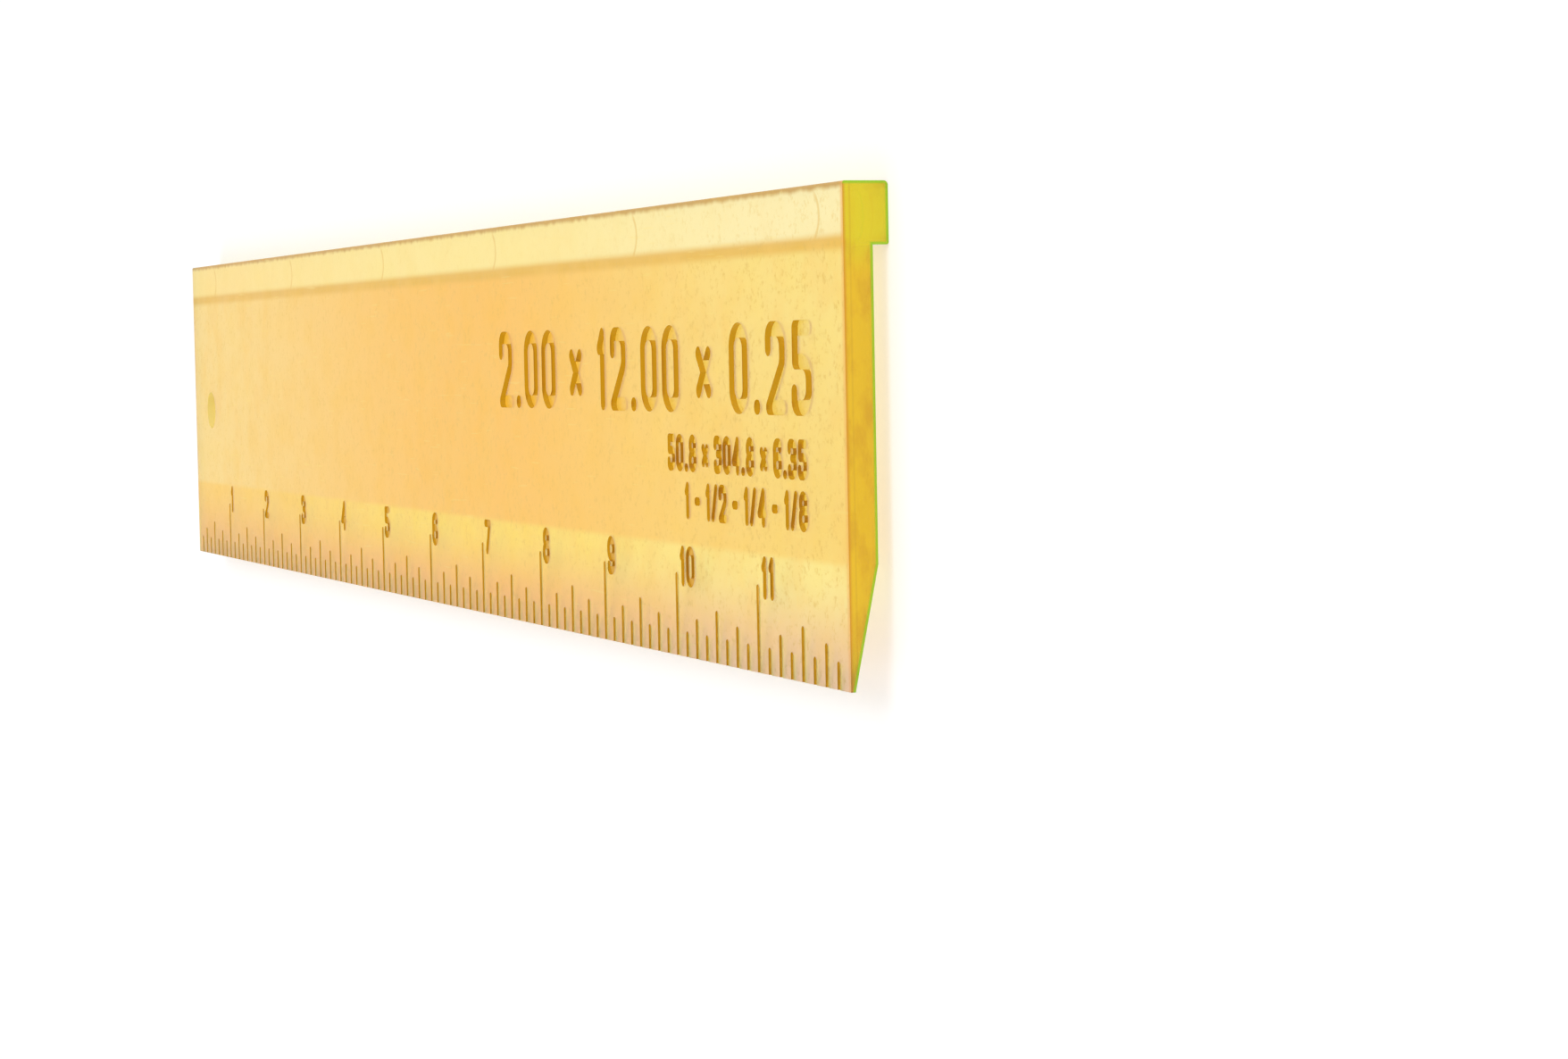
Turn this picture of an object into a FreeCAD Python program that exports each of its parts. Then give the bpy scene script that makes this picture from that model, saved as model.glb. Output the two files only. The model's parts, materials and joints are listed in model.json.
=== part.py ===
import FreeCAD, Part

import math
import os
from typing import NamedTuple

# A 12 inch quilting ruler: one translucent amber plastic moulding with a quarter-inch lip under
# one long side and a bevelled cutting edge along the other. The graduations and numerals are
# sunk into the marked face and carry a thin layer of colour on their floors.
#
# Frame: +X runs along the scale from the zero end, +Y from the sharp edge to the lip, and +Z out
# of the marked face. The origin is under the middle of the ruler, level with the lip's underside.

INCH = 25.4

# The moulding
LENGTH = 304.8
WIDTH = 50.8
BLADE_THICKNESS = 3.175
EDGE_THICKNESS = 0.5
BEVEL_WIDTH = 12.7
LIP_WIDTH = 6.35
LIP_DROP = 1.725
LIP_CORNER_RADIUS = 0.45
LONG_EDGE_RADIUS = 0.25

# Hang hole, on the middle of the width
HANG_HOLE_DIAMETER = 6.35
HANG_HOLE_INSET = 12.7

# Ejector-pin marks in the lip's underside, evenly spaced about the middle of the length
EJECTOR_DIAMETER = 5.08
EJECTOR_PITCH = 55.88
EJECTOR_DEPTH = 0.1
EJECTOR_END_CLEARANCE = 5.0

# Graduations: node name, divisions of an inch, length from the sharp edge
GRADUATIONS = (
    ("inch_marks", 1, 9.4),
    ("half_inch_marks", 2, 5.8),
    ("quarter_inch_marks", 4, 4.5),
    ("eighth_inch_marks", 8, 2.9),
)
MARK_WIDTH = 0.75
MARK_DEPTH = 0.25
MARK_END_CLEARANCE = 1.5
COLOUR_THICKNESS = 0.1


class Lettering(NamedTuple):
    """Sizes of one line of figures: a round pen draws each glyph, sunk to a depth."""
    height: float
    glyph_width: float
    pen: float
    spacing: float
    depth: float


# Numerals, each to the right of its inch mark; bases are heights above the sharp edge
NUMERAL = Lettering(height=4.6, glyph_width=2.8, pen=1.0, spacing=0.35, depth=0.45)
NUMERAL_BASE = 7.9
NUMERAL_OFFSET = 0.7

# Plain figures near the high end: the ruler's size in inches, then in millimetres, then its
# divisions. Insets are distances from the high end.
LARGE_LABEL = Lettering(height=9.8, glyph_width=5.6, pen=1.6, spacing=1.7, depth=0.7)
LARGE_LABEL_BASE = 27.4
LARGE_LABEL_INSET = 9.0
SMALL_LABEL = Lettering(height=4.2, glyph_width=2.5, pen=0.95, spacing=0.3, depth=0.6)
METRIC_LABEL_BASE = 20.8
DIVISION_LABEL_BASE = 15.5
SMALL_LABEL_INSET = 10.7

OVERCUT = 1.0

FACE_Z = LIP_DROP + BLADE_THICKNESS
BACK_Z = LIP_DROP
ZERO_X = -LENGTH / 2
EDGE_Y = -WIDTH / 2
LIP_OUTER_Y = WIDTH / 2
LIP_INNER_Y = LIP_OUTER_Y - LIP_WIDTH


# Strokes of each glyph, as points on a grid one wide and one high. The corners inside a stroke are
# rounded, and strokes that share an end point meet at a sharp corner. A stroke whose last point is
# its first is a closed loop.
GLYPHS = {
    "0": [[(0, 0), (1, 0), (1, 1), (0, 1), (0, 0)]],
    "1": [[(0.15, 0.8), (0.75, 1)], [(0.75, 1), (0.75, 0)]],
    "2": [[(0, 0.75), (0, 1), (1, 1), (1, 0.55), (0, 0)], [(0, 0), (1, 0)]],
    "3": [[(0, 0.8), (0, 1), (1, 1), (1, 0.53), (0.45, 0.53)],
          [(0.45, 0.53), (1, 0.53), (1, 0), (0, 0), (0, 0.2)]],
    "4": [[(0.78, 0), (0.78, 1)], [(0.78, 1), (0, 0.3)], [(0, 0.3), (1, 0.3)]],
    "5": [[(0.95, 1), (0.08, 1)], [(0.08, 1), (0.08, 0.58)],
          [(0.08, 0.58), (1, 0.58), (1, 0), (0, 0), (0, 0.2)]],
    "6": [[(0.95, 0.82), (0.95, 1), (0, 1), (0, 0.4)],
          [(0, 0), (1, 0), (1, 0.57), (0, 0.57), (0, 0)]],
    "7": [[(0, 1), (1, 1)], [(1, 1), (0.3, 0)]],
    "8": [[(0, 0), (1, 0), (1, 0.53), (0, 0.53), (0, 0)],
          [(0.07, 0.53), (0.93, 0.53), (0.93, 1), (0.07, 1), (0.07, 0.53)]],
    "9": [[(0.05, 0.18), (0.05, 0), (1, 0), (1, 0.6)],
          [(0, 0.43), (1, 0.43), (1, 1), (0, 1), (0, 0.43)]],
    "/": [[(0, 0), (1, 1)]],
    "x": [[(0, 0.2), (1, 0.7)], [(0, 0.7), (1, 0.2)]],
    "-": [[(0, 0.5), (1, 0.5)]],
    ".": [[(0, 0), (1, 0)]],
}

# Width of each narrow glyph, as a share of a full one
NARROW_GLYPHS = {"1": 0.62, "/": 0.8, "x": 0.85, "-": 0.7, ".": 0.0, " ": 0.4}

# Width of the dot in pens, and the shortest straight run that is drawn between two corners
DOT_WIDTH = 1.15
SHORTEST_RUN = 0.01


def disc_sector(centre, inner, outer, start, end):
    """Face between two radii about a centre, from one angle to another, in radians."""
    def point(radius, angle):
        return centre + FreeCAD.Vector(radius * math.cos(angle), radius * math.sin(angle), 0)

    middle = (start + end) / 2
    outer_arc = Part.Arc(point(outer, start), point(outer, middle), point(outer, end)).toShape()
    if inner <= 0:
        spokes = [
            Part.makeLine(point(outer, end), centre),
            Part.makeLine(centre, point(outer, start)),
        ]
        return Part.Face(Part.Wire([outer_arc] + spokes))
    inner_arc = Part.Arc(point(inner, end), point(inner, middle), point(inner, start)).toShape()
    return Part.Face(Part.Wire([
        outer_arc,
        Part.makeLine(point(outer, end), point(inner, end)),
        inner_arc,
        Part.makeLine(point(inner, start), point(outer, start)),
    ]))


def round_ended_bar(start, end, radius):
    """Face that a round pen covers as it moves along a straight line."""
    along = (end - start).normalize()
    side = FreeCAD.Vector(-along.y, along.x, 0) * radius
    return Part.Face(Part.Wire([
        Part.makeLine(start - side, end - side),
        Part.Arc(end - side, end + along * radius, end + side).toShape(),
        Part.makeLine(end + side, start + side),
        Part.Arc(start + side, start - along * radius, start - side).toShape(),
    ]))


def corner(before, point, after, largest_radius):
    """Tangent points, centre, radius and angles of the arc that rounds a path's corner."""
    into = (before - point).normalize()
    out = (after - point).normalize()
    half_angle = into.getAngle(out) / 2
    reach = min((before - point).Length, (after - point).Length) / 2
    radius = min(largest_radius, reach * math.tan(half_angle))
    tangent_length = radius / math.tan(half_angle)
    centre = point + (into + out).normalize() * (radius / math.sin(half_angle))
    first = point + into * tangent_length
    last = point + out * tangent_length
    start = math.atan2(first.y - centre.y, first.x - centre.x)
    turn = math.atan2(last.y - centre.y, last.x - centre.x) - start
    turn = (turn + math.pi) % (2 * math.pi) - math.pi
    return first, last, centre, radius, min(start, start + turn), max(start, start + turn)


def stroke_faces(points, closed, pen, largest_radius):
    """Faces that together cover one stroke, with its corners rounded."""
    first_corner = 0 if closed else 1
    arcs = [
        corner(points[index - 1], points[index], points[(index + 1) % len(points)], largest_radius)
        for index in range(first_corner, len(points) - first_corner)
    ]
    if closed:
        runs = [(arcs[index - 1][1], arcs[index][0]) for index in range(len(arcs))]
    else:
        starts = [points[0]] + [arc[1] for arc in arcs]
        ends = [arc[0] for arc in arcs] + [points[-1]]
        runs = zip(starts, ends)
    faces = [
        disc_sector(centre, radius - pen / 2, radius + pen / 2, start, end)
        for first, last, centre, radius, start, end in arcs
    ]
    faces += [
        round_ended_bar(start, end, pen / 2)
        for start, end in runs
        if (end - start).Length > SHORTEST_RUN
    ]
    return faces


def glyph_face(character, origin, style):
    """One shape with the outline of a glyph whose lower left corner is at the origin."""
    across = glyph_width(character, style) - style.pen
    up = style.height - style.pen
    faces = []
    for stroke in GLYPHS[character]:
        closed = stroke[0] == stroke[-1]
        points = [
            origin + FreeCAD.Vector(style.pen / 2 + x * across, style.pen / 2 + y * up, 0)
            for x, y in (stroke[:-1] if closed else stroke)
        ]
        faces += stroke_faces(points, closed, style.pen, across / 2)
    if len(faces) == 1:
        return faces[0]
    return faces[0].multiFuse(faces[1:]).removeSplitter()


def glyph_width(character, style):
    """Outer width of a glyph, wide enough for its pen."""
    return max(style.glyph_width * NARROW_GLYPHS.get(character, 1.0), style.pen * DOT_WIDTH)


def text_width(text, style):
    spaces = style.spacing * (len(text) - 1)
    return spaces + sum(glyph_width(character, style) for character in text)


def text_faces(text, x, y, style):
    """Faces of a line of figures, one for each glyph, on the plane of the marked face."""
    faces = []
    for character in text:
        if character != " ":
            faces.append(glyph_face(character, FreeCAD.Vector(x, y, FACE_Z), style))
        x += glyph_width(character, style) + style.spacing
    return faces


def recess(face, depth):
    """Solid that cuts a face's outline into the marked face."""
    lowered = face.translated(FreeCAD.Vector(0, 0, -depth))
    return lowered.extrude(FreeCAD.Vector(0, 0, depth + OVERCUT))


def colour(face, depth):
    """Thin solid of colour on the floor of a recess."""
    lowered = face.translated(FreeCAD.Vector(0, 0, -depth))
    return lowered.extrude(FreeCAD.Vector(0, 0, COLOUR_THICKNESS))


def solids_of(shapes):
    return [solid for shape in shapes for solid in shape.Solids]


def moulding():
    """Blade, bevel and lip as one prism, with the lip's corners and the long top edge rounded."""
    outline = [
        (EDGE_Y, FACE_Z),
        (EDGE_Y, FACE_Z - EDGE_THICKNESS),
        (EDGE_Y + BEVEL_WIDTH, BACK_Z),
        (LIP_INNER_Y, BACK_Z),
        (LIP_INNER_Y, 0),
        (LIP_OUTER_Y, 0),
        (LIP_OUTER_Y, FACE_Z),
    ]
    points = [FreeCAD.Vector(ZERO_X, y, z) for y, z in outline]
    profile = Part.Face(Part.makePolygon(points + points[:1]))
    prism = profile.extrude(FreeCAD.Vector(LENGTH, 0, 0))
    for y, z, radius in (
        (LIP_OUTER_Y, 0, LIP_CORNER_RADIUS),
        (LIP_OUTER_Y, FACE_Z, LONG_EDGE_RADIUS),
        (LIP_INNER_Y, 0, LONG_EDGE_RADIUS),
    ):
        prism = prism.makeFillet(radius, [long_edge(prism, y, z)])
    return prism


def long_edge(prism, y, z):
    """Edge of a prism that runs along X at the given place."""
    middle = FreeCAD.Vector(0, y, z)
    return min(prism.Edges, key=lambda edge: (edge.CenterOfMass - middle).Length)


def hang_hole():
    centre = FreeCAD.Vector(ZERO_X + HANG_HOLE_INSET, 0, BACK_Z - OVERCUT)
    return Part.makeCylinder(HANG_HOLE_DIAMETER / 2, BLADE_THICKNESS + 2 * OVERCUT, centre)


def ejector_marks():
    """Shallow round marks in the lip's underside."""
    lip_middle = (LIP_INNER_Y + LIP_OUTER_Y) / 2
    reach = LENGTH / 2 - EJECTOR_END_CLEARANCE - EJECTOR_DIAMETER / 2
    marks = []
    offset = EJECTOR_PITCH / 2
    while offset < reach:
        for x in (-offset, offset):
            base = FreeCAD.Vector(x, lip_middle, EJECTOR_DEPTH - OVERCUT)
            marks.append(Part.makeCylinder(EJECTOR_DIAMETER / 2, OVERCUT, base))
        offset += EJECTOR_PITCH
    return marks


def graduation_face(x, length, overhang):
    """Round-topped bar that starts at, or an overhang beyond, the sharp edge."""
    half = MARK_WIDTH / 2
    shoulder = EDGE_Y + length - half
    corners = [
        FreeCAD.Vector(x + half, shoulder, FACE_Z),
        FreeCAD.Vector(x - half, shoulder, FACE_Z),
        FreeCAD.Vector(x - half, EDGE_Y - overhang, FACE_Z),
        FreeCAD.Vector(x + half, EDGE_Y - overhang, FACE_Z),
    ]
    top = FreeCAD.Vector(x, shoulder + half, FACE_Z)
    return Part.Face(Part.Wire([
        Part.Arc(corners[0], top, corners[1]).toShape(),
        Part.makeLine(corners[1], corners[2]),
        Part.makeLine(corners[2], corners[3]),
        Part.makeLine(corners[3], corners[0]),
    ]))


def graduations():
    """Recesses of every graduation, and the colour in them by node name."""
    finest = max(divisions for name, divisions, length in GRADUATIONS)
    recesses = []
    colours = {name: [] for name, divisions, length in GRADUATIONS}
    step = INCH / finest
    count = int((LENGTH - MARK_END_CLEARANCE) / step)
    for index in range(1, count + 1):
        name, length = next(
            (name, length)
            for name, divisions, length in GRADUATIONS
            if index % (finest // divisions) == 0
        )
        x = ZERO_X + index * step
        recesses.append(recess(graduation_face(x, length, OVERCUT), MARK_DEPTH))
        colours[name].append(colour(graduation_face(x, length, 0), MARK_DEPTH))
    return recesses, colours


def numerals():
    """Recesses of every numeral, and the colour in them by node name."""
    recesses = []
    colours = {}
    last = int((LENGTH - MARK_END_CLEARANCE) / INCH)
    for number in range(1, last + 1):
        x = ZERO_X + number * INCH + MARK_WIDTH / 2 + NUMERAL_OFFSET
        faces = text_faces(str(number), x, EDGE_Y + NUMERAL_BASE, NUMERAL)
        recesses += [recess(face, NUMERAL.depth) for face in faces]
        colours[f"numeral_{number}"] = [colour(face, NUMERAL.depth) for face in faces]
    return recesses, colours


def label(text, style, base, inset):
    """Bare recesses of a line of figures that ends a distance short of the high end."""
    x = LENGTH / 2 - inset - text_width(text, style)
    return [recess(face, style.depth) for face in text_faces(text, x, EDGE_Y + base, style)]


def labels():
    inches = " x ".join(f"{size / INCH:.2f}" for size in (WIDTH, LENGTH, LIP_WIDTH))
    millimetres = f"{WIDTH:.1f} x {LENGTH:.1f} x {LIP_WIDTH:.2f}"
    parts_of_inch = " - ".join(
        "1" if divisions == 1 else f"1/{divisions}" for name, divisions, length in GRADUATIONS
    )
    return (
        label(inches, LARGE_LABEL, LARGE_LABEL_BASE, LARGE_LABEL_INSET)
        + label(millimetres, SMALL_LABEL, METRIC_LABEL_BASE, SMALL_LABEL_INSET)
        + label(parts_of_inch, SMALL_LABEL, DIVISION_LABEL_BASE, SMALL_LABEL_INSET)
    )


def export(name, solids):
    shape = solids[0] if len(solids) == 1 else Part.makeCompound(solids)
    shape.exportStep(f"parts/{name}.step")
    print(name, len(solids), "solids,", round(shape.Volume, 3), "mm3, valid", shape.isValid())


def main():
    os.makedirs("parts", exist_ok=True)
    mark_recesses, mark_colours = graduations()
    numeral_recesses, numeral_colours = numerals()
    cuts = [hang_hole()] + ejector_marks() + mark_recesses + numeral_recesses + labels()
    blade = moulding().cut(cuts)
    export("blade", blade.Solids)
    for name, shapes in {**mark_colours, **numeral_colours}.items():
        export(name, solids_of(shapes))


main()
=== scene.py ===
import json
import math

import bpy
from mathutils import Matrix, Vector


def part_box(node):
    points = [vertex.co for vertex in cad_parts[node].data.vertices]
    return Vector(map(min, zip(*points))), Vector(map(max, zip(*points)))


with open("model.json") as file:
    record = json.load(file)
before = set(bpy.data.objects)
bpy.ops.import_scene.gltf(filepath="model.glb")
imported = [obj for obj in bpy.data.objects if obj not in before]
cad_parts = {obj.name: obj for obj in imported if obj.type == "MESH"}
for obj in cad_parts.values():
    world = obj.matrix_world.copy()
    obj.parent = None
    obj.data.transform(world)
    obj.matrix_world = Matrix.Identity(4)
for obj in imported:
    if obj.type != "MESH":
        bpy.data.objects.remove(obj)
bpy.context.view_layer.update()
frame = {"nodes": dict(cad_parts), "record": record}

# Looks for the quilting ruler: one hazy fluorescent amber plastic for the moulding, and an amber
# brown colour on the floors of its marks. Lengths are in metres. A colour given to srgb() is an
# 8-bit display value, and any other colour is linear.

MM = 0.001
INCH = 25.4 * MM

# The ruler's sections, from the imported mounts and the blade's box
MOUNTS = {mount["name"]: Vector(mount["pos_m"]) for mount in frame["record"]["mounts"]}
LOW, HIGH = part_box("blade")
FACE_Z = MOUNTS["marked_face"].z
BACK_Z = MOUNTS["blade_back"].z
FENCE_Y = MOUNTS["fence_wall"].y
LIP_MIDDLE_Y = MOUNTS["lip_underside"].y
HOLE = MOUNTS["hang_hole"]
# A distance from the hole's middle that takes in its wall and no mark
HOLE_ZONE = 3.5 * MM
BEVEL_Y = LOW.y + 12.7 * MM
EDGE_THICKNESS = 0.5 * MM
EJECTOR_RADIUS = 2.54 * MM
EJECTOR_PITCH = 55.88 * MM
# How far the lip's refraction moves the ejector marks when they are seen low from the high end
EJECTOR_SHIFT = 3.9 * MM

# Graduations: divisions of an inch, and length from the sharp edge
GRADUATIONS = ((1, 9.4 * MM), (2, 5.8 * MM), (4, 4.5 * MM), (8, 2.9 * MM))
MARK_WIDTH = 0.75 * MM

# The plastic's inside. Along each metre it absorbs the density times 1 less the absorption colour,
# and gives out the glow colour times its strength, so that long paths go deep amber.
ABSORPTION_COLOUR = (0.625, 0.5, 0.25, 1.0)
ABSORPTION_DENSITY = 400
GLOW_COLOUR = (1.0, 0.98, 0.04, 1.0)
GLOW_STRENGTH = 159
# Share of the light that passes through its surface where it is clearest
CLEAR_TRANSMISSION = 0.85

# Soft lamps: name, place, side and power in watts
LAMPS = (("key", (0.5, 0.6, 1.1), 1.0, 7), ("fill", (-0.6, -0.8, 0.9), 1.2, 5))
WORLD_LIGHT = 0.55

# Floor: its colour as a grey, and the light that makes it white to the camera
FLOOR_GREY = 0.65
FLOOR_LIFT = 0.45

# Camera: on the high end, low over the marked face, with the lip at the top of the picture
LENS_MM = 80.75
SENSOR_MM = 36.0
CAMERA_TARGET = Vector((134.97 * MM, -9.84 * MM, FACE_Z))
CAMERA_DISTANCE = 365.17 * MM
CAMERA_AZIMUTH = math.radians(3.155)
CAMERA_ELEVATION = math.radians(21.432)
CAMERA_ROLL = math.radians(1.088)


class Field:
    """A value socket of a shader tree that takes ordinary arithmetic."""

    def __init__(self, graph, socket):
        self.graph = graph
        self.socket = socket

    def math(self, operation, other=None):
        node = self.graph.node("ShaderNodeMath", operation=operation)
        self.graph.feed(node.inputs[0], self)
        if other is not None:
            self.graph.feed(node.inputs[1], other)
        return Field(self.graph, node.outputs[0])

    def __add__(self, other):
        return self.math("ADD", other)

    def __sub__(self, other):
        return self.math("SUBTRACT", other)

    def __mul__(self, other):
        return self.math("MULTIPLY", other)

    def least(self, other):
        return self.math("MINIMUM", other)

    def most(self, other):
        return self.math("MAXIMUM", other)

    def size(self):
        return self.math("ABSOLUTE")

    def from_nearest(self, first, pitch):
        """Signed distance from the nearest of the places first, first + pitch, and so on."""
        turns = (self - (first - pitch / 2)) * (1 / pitch)
        return (turns.math("FRACT") - 0.5) * pitch

    def ramp(self, start, end):
        """0 before start and 1 past end, with a smooth step between them."""
        node = self.graph.node("ShaderNodeMapRange", interpolation_type="SMOOTHSTEP")
        self.graph.feed(node.inputs["Value"], self)
        low, high = (0.0, 1.0) if start < end else (1.0, 0.0)
        node.inputs["From Min"].default_value = min(start, end)
        node.inputs["From Max"].default_value = max(start, end)
        node.inputs["To Min"].default_value = low
        node.inputs["To Max"].default_value = high
        return Field(self.graph, node.outputs["Result"])

    def band(self, low, high, soft):
        """1 between low and high, and 0 past them by a soft edge's width."""
        return self.ramp(low - soft, low) * self.ramp(high + soft, high)


class Graph:
    """A material's shader tree, with short ways to add the nodes used here."""

    def __init__(self, name):
        self.material = bpy.data.materials.new(name)
        self.material.use_nodes = True
        self.tree = self.material.node_tree
        self.tree.nodes.clear()
        self.output = self.node("ShaderNodeOutputMaterial")

    def node(self, kind, **settings):
        node = self.tree.nodes.new(kind)
        for name, value in settings.items():
            setattr(node, name, value)
        return node

    def link(self, source, target):
        self.tree.links.new(source, target)

    def feed(self, target, value):
        """Sets a socket to a number or colour, or links a field or socket to it."""
        if isinstance(value, Field):
            self.link(value.socket, target)
        elif isinstance(value, bpy.types.NodeSocket):
            self.link(value, target)
        else:
            target.default_value = value

    def parts_of(self, vector):
        node = self.node("ShaderNodeSeparateXYZ")
        self.link(vector, node.inputs[0])
        return [Field(self, output) for output in node.outputs]

    def position(self):
        """Object coordinates, which are the row's own frame in metres."""
        return self.node("ShaderNodeTexCoord").outputs["Object"]

    def facing(self):
        """X, Y and Z of the direction that the surface faces."""
        return self.parts_of(self.node("ShaderNodeNewGeometry").outputs["True Normal"])

    def stretched(self, scale):
        """Object coordinates with each axis multiplied by its own scale."""
        node = self.node("ShaderNodeVectorMath", operation="MULTIPLY")
        self.link(self.position(), node.inputs[0])
        node.inputs[1].default_value = scale
        return node.outputs[0]

    def noise(self, scale, detail=2.0, roughness=0.5, stretch=(1, 1, 1)):
        node = self.node("ShaderNodeTexNoise")
        self.link(self.stretched(stretch), node.inputs["Vector"])
        node.inputs["Scale"].default_value = scale
        node.inputs["Detail"].default_value = detail
        node.inputs["Roughness"].default_value = roughness
        return Field(self, node.outputs["Fac"])

    def cells(self, scale):
        """Distance to the nearest of scattered points, in cells."""
        node = self.node("ShaderNodeTexVoronoi")
        self.link(self.position(), node.inputs["Vector"])
        node.inputs["Scale"].default_value = scale
        return Field(self, node.outputs["Distance"])

    def mix(self, factor, first, second):
        """Colour that goes from the first to the second as the factor goes from 0 to 1."""
        node = self.node("ShaderNodeMix", data_type="RGBA")
        self.feed(node.inputs["Factor"], factor)
        self.feed(node.inputs["A"], first)
        self.feed(node.inputs["B"], second)
        return node.outputs["Result"]

    def bump(self, height, strength, distance):
        node = self.node("ShaderNodeBump")
        self.feed(node.inputs["Height"], height)
        node.inputs["Strength"].default_value = strength
        node.inputs["Distance"].default_value = distance
        return node.outputs["Normal"]

    def surface(self, shader):
        self.link(shader.outputs[0], self.output.inputs["Surface"])

    def volume(self, shader):
        self.link(shader.outputs[0], self.output.inputs["Volume"])


def srgb(red, green, blue):
    """Linear colour of an 8-bit display colour."""
    def linear(value):
        value /= 255
        return value / 12.92 if value <= 0.04045 else ((value + 0.055) / 1.055) ** 2.4

    return (linear(red), linear(green), linear(blue), 1.0)


def lengthwise(graph, x, high_end, middle, low_end):
    """Colour that changes along the ruler, from its high end to its zero end."""
    colour = graph.mix(x.ramp(HIGH.x, 30 * MM), high_end, middle)
    return graph.mix(x.ramp(20 * MM, LOW.x), colour, low_end)


def ejector_arcs(x, y):
    """Painted shade: the high side of each ejector mark's rim, as it shows through the lip."""
    across = x.from_nearest(EJECTOR_PITCH / 2 + EJECTOR_SHIFT, EJECTOR_PITCH)
    up = y - LIP_MIDDLE_Y
    radius = (across * across + up * up).math("SQRT")
    rim = (radius - EJECTOR_RADIUS).size().ramp(0.4 * MM, 0.1 * MM)
    return rim * across.ramp(0.8 * MM, 1.8 * MM)


def glints(x, y):
    """Painted highlight: a bright line on the face along the high side of each graduation."""
    lines = None
    for divisions, length in GRADUATIONS:
        beside = x.from_nearest(LOW.x, INCH / divisions).band(
            MARK_WIDTH / 2, MARK_WIDTH / 2 + 0.4 * MM, 0.1 * MM
        )
        line = beside * y.ramp(LOW.y + length, LOW.y + length - 0.4 * MM)
        lines = line if lines is None else lines.most(line)
    return lines


def face_colour(graph, x, y):
    """Marked face and back in painted light and shade: creamy lip band, amber blade, paler bevel,
    lines.
    """
    # Painted light: the one plastic is paler towards both ends and on the bevel, and creamy over
    # the lip
    blade_high_end = graph.mix(
        y.ramp(FENCE_Y, BEVEL_Y), srgb(252, 240, 208), srgb(250, 222, 166)
    )
    blade = lengthwise(graph, x, blade_high_end, srgb(252, 193, 104), srgb(251, 226, 212))
    bevel_top = lengthwise(
        graph, x, srgb(255, 250, 226), srgb(255, 231, 132), srgb(252, 208, 136)
    )
    bevel_low = lengthwise(
        graph, x, srgb(247, 210, 206), srgb(252, 187, 128), srgb(246, 186, 132)
    )
    bevel = graph.mix(y.ramp(BEVEL_Y - 1 * MM, LOW.y + 3 * MM), bevel_top, bevel_low)
    colour = graph.mix(y.ramp(BEVEL_Y + 0.4 * MM, BEVEL_Y - 0.6 * MM), blade, bevel)

    lip = lengthwise(
        graph, x, srgb(255, 255, 255), srgb(255, 246, 210), srgb(255, 234, 190)
    )
    colour = graph.mix(y.ramp(FENCE_Y, FENCE_Y + 1.0 * MM), colour, lip)
    # Painted shade of the ejector marks' rims, as they show through the lip
    ejector_rim_shade = ejector_arcs(x, y)
    colour = graph.mix(ejector_rim_shade * 0.5, colour, srgb(214, 164, 70))

    # Painted shade along the fence wall, where it shows through the blade
    fence_wall_shade = (y - (FENCE_Y + 0.35 * MM)).size().ramp(1.2 * MM, 0.2 * MM)
    colour = graph.mix(fence_wall_shade * 0.9, colour, srgb(222, 172, 54))
    # Painted shade along the outer edge
    wander = graph.noise(400, stretch=(1, 0, 0)) * (0.8 * MM)
    outer_edge_shade = (y + wander).ramp(HIGH.y - 0.5 * MM, HIGH.y + 0.15 * MM)
    colour = graph.mix(outer_edge_shade * 0.9, colour, srgb(178, 122, 26))
    # Painted shade along the high end's edge
    high_end_edge_shade = x.ramp(HIGH.x - 0.9 * MM, HIGH.x - 0.2 * MM)
    colour = graph.mix(high_end_edge_shade * 0.7, colour, srgb(236, 158, 66))
    # Painted highlight beside each graduation
    return graph.mix(glints(x, y) * 0.9, colour, srgb(255, 246, 110))


def end_colour(graph, y, z, mottle, rim):
    """End faces and long edges: painted light from inside, yellow-green in the lip and at the
    rims.
    """
    colour = graph.mix(
        y.ramp(FENCE_Y - 3.5 * MM, FENCE_Y + 1 * MM), srgb(222, 184, 16), srgb(206, 212, 16)
    )
    # Darker amber mottling
    colour = graph.mix(mottle, colour, srgb(186, 128, 12))
    # Painted shade along the end face's side at the marked face
    marked_side_shade = z.ramp(FACE_Z - 0.4 * MM, FACE_Z - 0.05 * MM)
    colour = graph.mix(marked_side_shade * 0.8, colour, srgb(186, 104, 26))
    inner_line = (z - (FACE_Z - 0.75 * MM)).size().ramp(0.16 * MM, 0.04 * MM)
    colour = graph.mix(inner_line * 0.3, colour, srgb(170, 128, 16))
    # Painted glow: a bright yellow-green rim round each end face
    return graph.mix(rim * 0.85, colour, srgb(156, 236, 40))


def rim_distance(y, z):
    """Distance in from the outline of the end face, apart from its side at the marked face."""
    run = BEVEL_Y - LOW.y
    drop = FACE_Z - EDGE_THICKNESS - BACK_Z
    slope = math.hypot(run, drop)
    bevel = (y - BEVEL_Y) * (drop / slope) + (z - BACK_Z) * (run / slope)
    outside = y * -1 + HIGH.y
    blade = (z - BACK_Z).least(bevel).least(outside)
    lip = z.least(y - FENCE_Y).least(outside)
    return blade.most(lip)


def recess_region(x, y, z):
    """1 where the sunken marks are, and 0 at the ruler's own sides."""
    return (
        x.band(LOW.x + 0.3 * MM, HIGH.x - 0.3 * MM, 0.1 * MM)
        * y.band(LOW.y + 0.1 * MM, FENCE_Y - 1 * MM, 0.05 * MM)
        * z.ramp(BACK_Z + 0.1 * MM, BACK_Z + 0.2 * MM)
    )


def hole_distance(x, y):
    """Distance from the middle of the hang hole."""
    across = x - HOLE.x
    up = y - HOLE.y
    return (across * across + up * up).math("SQRT")


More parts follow.
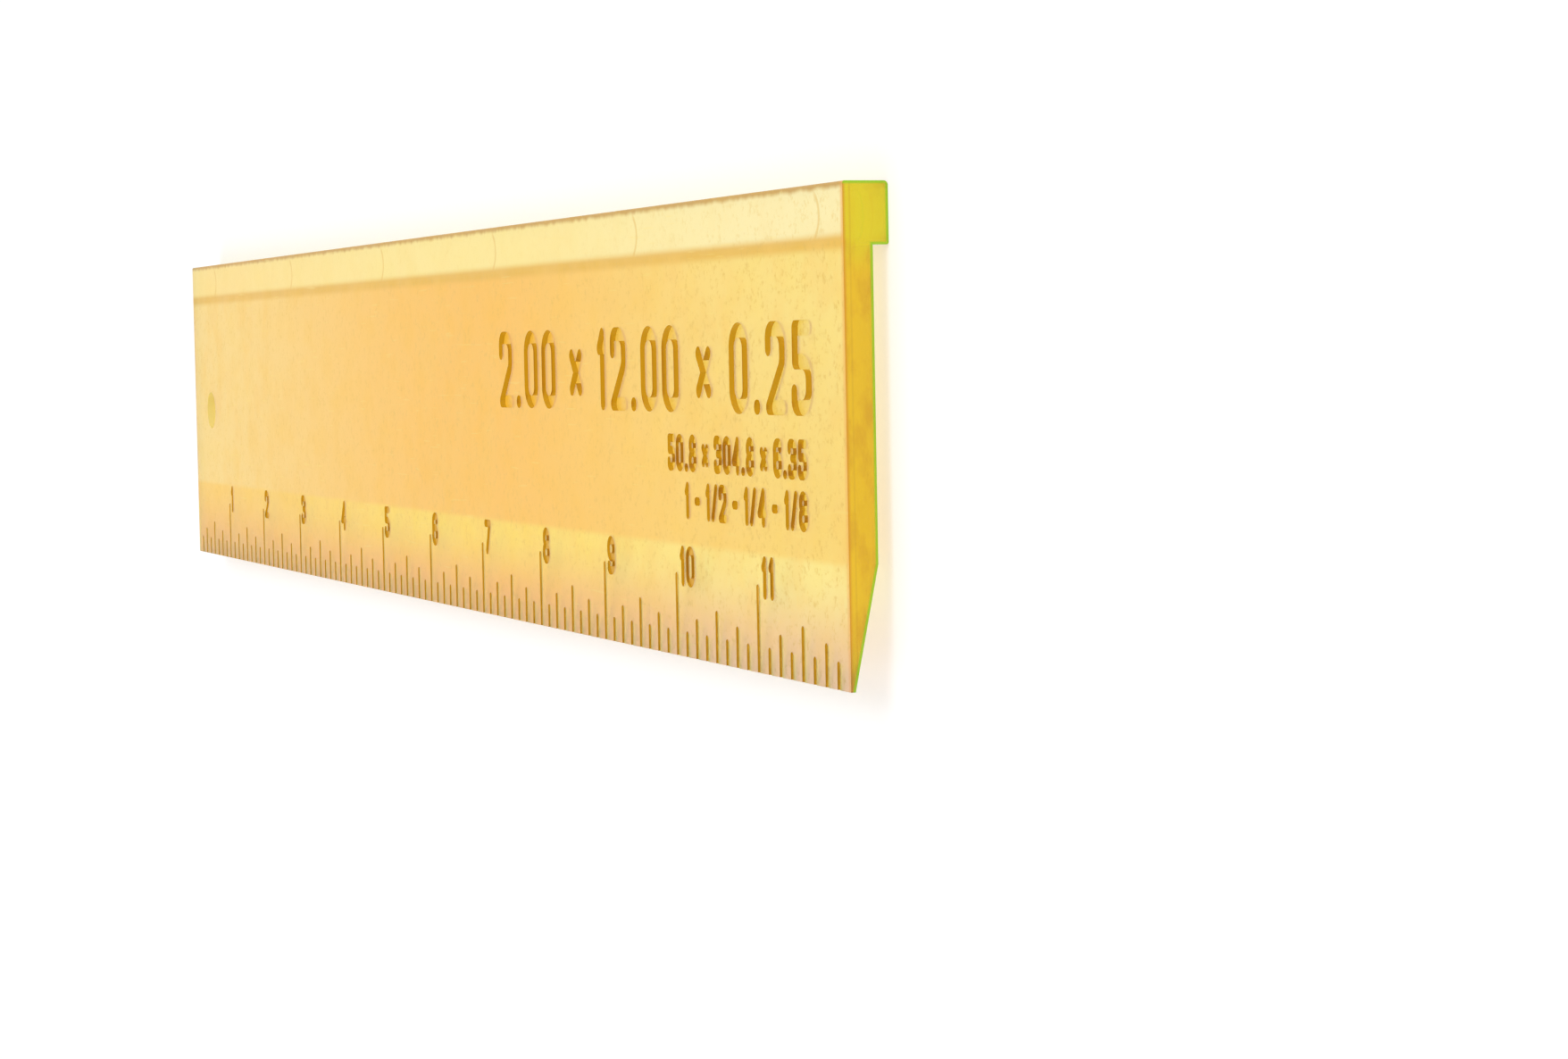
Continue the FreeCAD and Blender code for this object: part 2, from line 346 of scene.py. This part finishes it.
def glowing_inside(graph):
    """Volume that absorbs blue most and gives out amber light, in place of fluorescence."""
    absorption = graph.node("ShaderNodeVolumeAbsorption")
    absorption.inputs["Color"].default_value = ABSORPTION_COLOUR
    absorption.inputs["Density"].default_value = ABSORPTION_DENSITY
    glow = graph.node("ShaderNodeEmission")
    glow.inputs["Color"].default_value = GLOW_COLOUR
    glow.inputs["Strength"].default_value = GLOW_STRENGTH
    both = graph.node("ShaderNodeAddShader")
    graph.link(absorption.outputs[0], both.inputs[0])
    graph.link(glow.outputs[0], both.inputs[1])
    graph.volume(both)


def ruler_plastic():
    graph = Graph("ruler_plastic_look")
    x, y, z = graph.parts_of(graph.position())
    facing_x, _, facing_up = graph.facing()
    flat = facing_up.size().ramp(0.4, 0.6)
    upright = facing_up.size().ramp(0.6, 0.4)

    grain = graph.noise(2600, detail=3.0, roughness=0.6)
    flecks = graph.noise(1100, detail=5.0, roughness=0.7).ramp(0.52, 0.68)
    over_lip = y.ramp(FENCE_Y, FENCE_Y + 1 * MM)
    lip = over_lip * flat
    blotches = graph.noise(110, detail=5.0, roughness=0.6).ramp(0.42, 0.68)
    scratches = graph.noise(2200, detail=1.0, stretch=(0.06, 1, 1)).ramp(0.68, 0.76)
    specks = graph.cells(42).ramp(0.012, 0.008)
    mottle = graph.noise(170, detail=4.0, roughness=0.6, stretch=(1, 1, 2.5)).ramp(0.42, 0.66)
    # Painted glow round the outline of each end face, which also makes it less clear
    rim = rim_distance(y, z).ramp(0.4 * MM, 0.15 * MM) * facing_x.size().ramp(0.4, 0.6)
    frosted = x.ramp(60 * MM, HIGH.x)

    face = face_colour(graph, x, y)
    face = graph.mix(blotches * (lip * -0.3 + 0.4), face, srgb(246, 198, 124))
    fleck_strength = frosted * 0.25 - lip * 0.3 + 0.4
    face = graph.mix(flecks * fleck_strength, face, srgb(206, 170, 96))
    face = graph.mix(scratches * 0.25, face, srgb(255, 240, 190))
    face = graph.mix(specks * 0.8, face, srgb(120, 90, 50))

    end_mottle = mottle * (over_lip * -0.45 + 0.6)
    colour = graph.mix(flat, end_colour(graph, y, z, end_mottle, rim), face)
    from_hole = hole_distance(x, y)
    away_from_hole = from_hole.ramp(HOLE_ZONE, HOLE_ZONE + 0.5 * MM)
    # Painted shade: the walls of the sunken marks are darker amber and less clear
    shaded_recess_walls = recess_region(x, y, z) * upright * away_from_hole
    colour = graph.mix(shaded_recess_walls, colour, srgb(202, 150, 46))
    # Painted light: the hang hole's wall is pale cream and less clear
    lit_bore_wall = upright * from_hole.ramp(HOLE_ZONE + 0.1 * MM, HOLE_ZONE - 0.1 * MM)
    colour = graph.mix(lit_bore_wall, colour, srgb(255, 240, 190))

    shader = graph.node("ShaderNodeBsdfPrincipled")
    graph.feed(shader.inputs["Base Color"], colour)
    graph.feed(shader.inputs["Roughness"], flat * 0.25 + mottle * 0.06 + 0.14)
    shader.inputs["IOR"].default_value = 1.5
    shader.inputs["Specular IOR Level"].default_value = 0.35
    milky = rim * 0.6 + shaded_recess_walls * 0.45 + lit_bore_wall * 0.5 + lip * 0.2
    graph.feed(shader.inputs["Transmission Weight"], milky * -1 + CLEAR_TRANSMISSION)
    graph.feed(shader.inputs["Normal"], graph.bump(grain, 0.25, 0.05 * MM))
    graph.surface(shader)
    glowing_inside(graph)
    return graph.material


def mark_colour():
    graph = Graph("mark_colour_look")
    wear = graph.noise(1500, detail=3.0)
    _, y, _ = graph.parts_of(graph.position())
    colour = graph.mix(wear.ramp(0.35, 0.75), srgb(184, 134, 20), srgb(212, 162, 36))
    # Painted light: the numerals are lighter than the graduations
    numerals = y.ramp(LOW.y + 6 * MM, LOW.y + 8 * MM)
    colour = graph.mix(numerals * 0.7, colour, srgb(238, 186, 84))
    shader = graph.node("ShaderNodeBsdfPrincipled")
    graph.feed(shader.inputs["Base Color"], colour)
    shader.inputs["Roughness"].default_value = 0.6
    shader.inputs["Specular IOR Level"].default_value = 0.15
    graph.feed(shader.inputs["Normal"], graph.bump(wear, 0.2, 0.03 * MM))
    graph.surface(shader)
    return graph.material


def paint_nodes():
    materials = {"ruler_plastic": ruler_plastic(), "mark_colour": mark_colour()}
    slots = {part["node"]: part["material_slot"] for part in frame["record"]["subparts"]}
    for name, node in frame["nodes"].items():
        for slot in node.material_slots:
            slot.material = materials[slots[name]]


def white_when_seen(graph, lit_shader):
    """A lit shader that glossy and transmitted rays see as plain white."""
    path = graph.node("ShaderNodeLightPath")
    through = Field(graph, path.outputs["Is Transmission Ray"])
    seen = through.most(Field(graph, path.outputs["Is Glossy Ray"]))
    white = graph.node("ShaderNodeEmission")
    white.inputs["Color"].default_value = (1, 1, 1, 1)
    white.inputs["Strength"].default_value = 1.0
    chosen = graph.node("ShaderNodeMixShader")
    graph.feed(chosen.inputs[0], seen)
    graph.link(lit_shader.outputs[0], chosen.inputs[1])
    graph.link(white.outputs[0], chosen.inputs[2])
    return chosen


def floor_material():
    graph = Graph("floor_look")
    diffuse = graph.node("ShaderNodeBsdfDiffuse")
    diffuse.inputs["Color"].default_value = (FLOOR_GREY, FLOOR_GREY, FLOOR_GREY, 1)
    path = graph.node("ShaderNodeLightPath")
    lift = graph.node("ShaderNodeEmission")
    graph.feed(lift.inputs["Strength"], Field(graph, path.outputs["Is Camera Ray"]) * FLOOR_LIFT)
    both = graph.node("ShaderNodeAddShader")
    graph.link(diffuse.outputs[0], both.inputs[0])
    graph.link(lift.outputs[0], both.inputs[1])
    graph.surface(white_when_seen(graph, both))
    return graph.material


def add_floor(size=6.0):
    mesh = bpy.data.meshes.new("floor")
    half = size / 2
    corners = [(-half, -half, 0), (half, -half, 0), (half, half, 0), (-half, half, 0)]
    mesh.from_pydata(corners, [], [(0, 1, 2, 3)])
    floor = bpy.data.objects.new("floor", mesh)
    floor.location.z = LOW.z - 0.02 * MM
    bpy.context.scene.collection.objects.link(floor)
    floor.data.materials.append(floor_material())


def add_area_light(name, place, size, watts):
    """Square soft light that points at the origin."""
    light = bpy.data.lights.new(name, "AREA")
    light.size = size
    light.energy = watts
    lamp = bpy.data.objects.new(name, light)
    lamp.location = place
    lamp.rotation_euler = Vector(place).to_track_quat("Z", "Y").to_euler()
    bpy.context.scene.collection.objects.link(lamp)


def add_world():
    """White where it is seen, and dimmer as a light."""
    world = bpy.data.worlds.new("studio")
    world.use_nodes = True
    tree = world.node_tree
    background = tree.nodes["Background"]
    background.inputs["Color"].default_value = (1, 1, 1, 1)
    path = tree.nodes.new("ShaderNodeLightPath")
    seen = path.outputs["Is Camera Ray"]
    for ray in ("Is Glossy Ray", "Is Transmission Ray"):
        either = tree.nodes.new("ShaderNodeMath")
        either.operation = "MAXIMUM"
        tree.links.new(seen, either.inputs[0])
        tree.links.new(path.outputs[ray], either.inputs[1])
        seen = either.outputs[0]
    level = tree.nodes.new("ShaderNodeMapRange")
    tree.links.new(seen, level.inputs["Value"])
    level.inputs["To Min"].default_value = WORLD_LIGHT
    level.inputs["To Max"].default_value = 1.0
    tree.links.new(level.outputs["Result"], background.inputs["Strength"])
    bpy.context.scene.world = world


def add_camera():
    outward = Vector((
        math.cos(CAMERA_ELEVATION) * math.cos(CAMERA_AZIMUTH),
        math.cos(CAMERA_ELEVATION) * math.sin(CAMERA_AZIMUTH),
        math.sin(CAMERA_ELEVATION),
    ))
    right = Vector((0, 1, 0)).cross(outward).normalized()
    up = outward.cross(right)
    roll = Matrix.Rotation(-CAMERA_ROLL, 3, outward)
    axes = Matrix((roll @ right, roll @ up, outward)).transposed()
    place = CAMERA_TARGET + outward * CAMERA_DISTANCE
    data = bpy.data.cameras.new("camera")
    data.sensor_width = SENSOR_MM
    data.lens = LENS_MM
    data.clip_start = 0.01
    camera = bpy.data.objects.new("camera", data)
    camera.matrix_world = Matrix.Translation(place) @ axes.to_4x4()
    bpy.context.scene.collection.objects.link(camera)
    bpy.context.scene.camera = camera


bpy.context.scene.view_settings.view_transform = "Standard"
add_camera()
paint_nodes()
add_floor()
add_world()
for lamp in LAMPS:
    add_area_light(*lamp)
